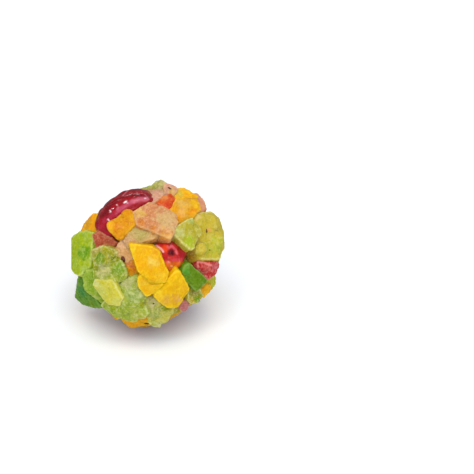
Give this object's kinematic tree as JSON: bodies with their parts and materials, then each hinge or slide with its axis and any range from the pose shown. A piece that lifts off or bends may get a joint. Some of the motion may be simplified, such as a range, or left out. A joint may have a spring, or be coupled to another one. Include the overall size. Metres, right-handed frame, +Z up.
{
  "type": "fruit laddu",
  "caption": "Round sweet of diced candied fruit pressed together with syrup, with glossy glace cherries set in it. Rests on a small flat.",
  "frame": {"origin": "middle of the flat that the ball rests on", "axes": "+Z up; -Y towards the side that the picture shows, +X to that view's right"},
  "size_m": [0.0438, 0.0452, 0.043],
  "materials": {
    "candied_fruit": "diced candied fruit in green, yellow, amber and red, moist with syrup, with lighter, clearer edges",
    "glace_cherry": "dark red candied cherry skin, translucent and very glossy, finely wrinkled"
  },
  "bodies": {
    "root": {"fruit_cluster": "candied_fruit", "cherry_upper_left": "glace_cherry", "cherry_middle_right": "glace_cherry", "cherry_back_upper": "glace_cherry", "cherry_back_lower": "glace_cherry"}
  },
  "joints": []
}
